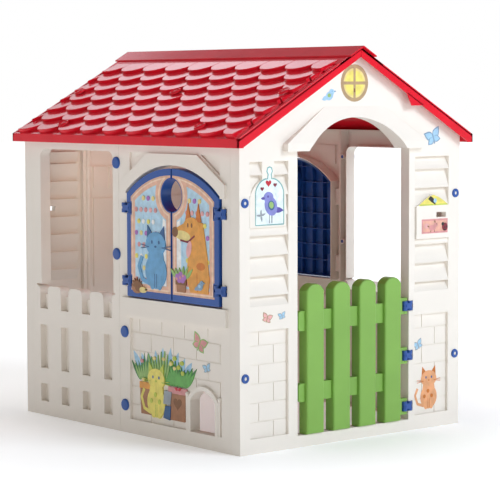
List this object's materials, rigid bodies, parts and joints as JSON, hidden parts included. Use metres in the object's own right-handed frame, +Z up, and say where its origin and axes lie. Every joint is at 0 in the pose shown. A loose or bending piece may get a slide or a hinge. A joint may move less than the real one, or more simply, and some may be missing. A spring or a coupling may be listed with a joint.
{
  "type": "plastic playhouse",
  "caption": "Moulded plastic garden playhouse with a tiled gable roof, a picket gate in the doorway, arched window shutters and open sides.",
  "frame": {"origin": "on the ground under the middle of the house", "axes": "+Z up, -Y is the front with the doorway and gate, the ridge runs along Y"},
  "size_m": [0.84, 1.03, 1.04],
  "materials": {
    "wall_white": "satin, fine moulded grain",
    "roof_red": "glossy",
    "gate_green": "satin",
    "trim_blue": "semi-gloss",
    "sticker_film": "printed film"
  },
  "bodies": {
    "house": {"back_corner_screws": "trim_blue", "back_wall": "wall_white", "front_corner_screws": "trim_blue", "front_wall": "wall_white", "front_wall_stickers": "sticker_film", "gate_hinge_clips": "trim_blue", "left_front_shutter_clips": "trim_blue", "left_picket_panel": "wall_white", "left_rear_shutter_clips": "trim_blue", "left_roof_panel": "roof_red", "left_roof_screws": "roof_red", "left_seam_caps": "trim_blue", "left_wall_stickers": "sticker_film", "left_window_panel": "wall_white", "ridge_cap": "roof_red", "right_front_shutter_clips": "trim_blue", "right_picket_panel": "wall_white", "right_rear_shutter_clips": "trim_blue", "right_roof_panel": "roof_red", "right_roof_screws": "roof_red", "right_seam_caps": "trim_blue", "right_window_panel": "wall_white"},
    "gate": {"gate": "gate_green"},
    "left_front_shutter": {"left_front_shutter": "trim_blue", "left_front_shutter_sticker": "sticker_film"},
    "left_rear_shutter": {"left_rear_shutter": "trim_blue", "left_rear_shutter_sticker": "sticker_film"},
    "right_front_shutter": {"right_front_shutter": "trim_blue", "right_front_shutter_sticker": "sticker_film"},
    "right_rear_shutter": {"right_rear_shutter": "trim_blue", "right_rear_shutter_sticker": "sticker_film"}
  },
  "joints": [
    {"name": "gate_hinge", "type": "hinge", "parent": "house", "child": "gate", "pos_m": [0.189, -0.476, 0.2], "axis": [0, 0, 1], "range_deg": [0, 110]},
    {"name": "left_front_shutter_hinge", "type": "hinge", "parent": "house", "child": "left_front_shutter", "pos_m": [-0.398, -0.3955, 0.5], "axis": [0, 0, 1], "range_deg": [0, 110]},
    {"name": "left_rear_shutter_hinge", "type": "hinge", "parent": "house", "child": "left_rear_shutter", "pos_m": [-0.398, -0.0275, 0.5], "axis": [0, 0, -1], "range_deg": [0, 110]},
    {"name": "right_rear_shutter_hinge", "type": "hinge", "parent": "house", "child": "right_rear_shutter", "pos_m": [0.398, 0.3955, 0.5], "axis": [0, 0, 1], "range_deg": [0, 110]},
    {"name": "right_front_shutter_hinge", "type": "hinge", "parent": "house", "child": "right_front_shutter", "pos_m": [0.398, 0.0275, 0.5], "axis": [0, 0, -1], "range_deg": [0, 110]}
  ]
}
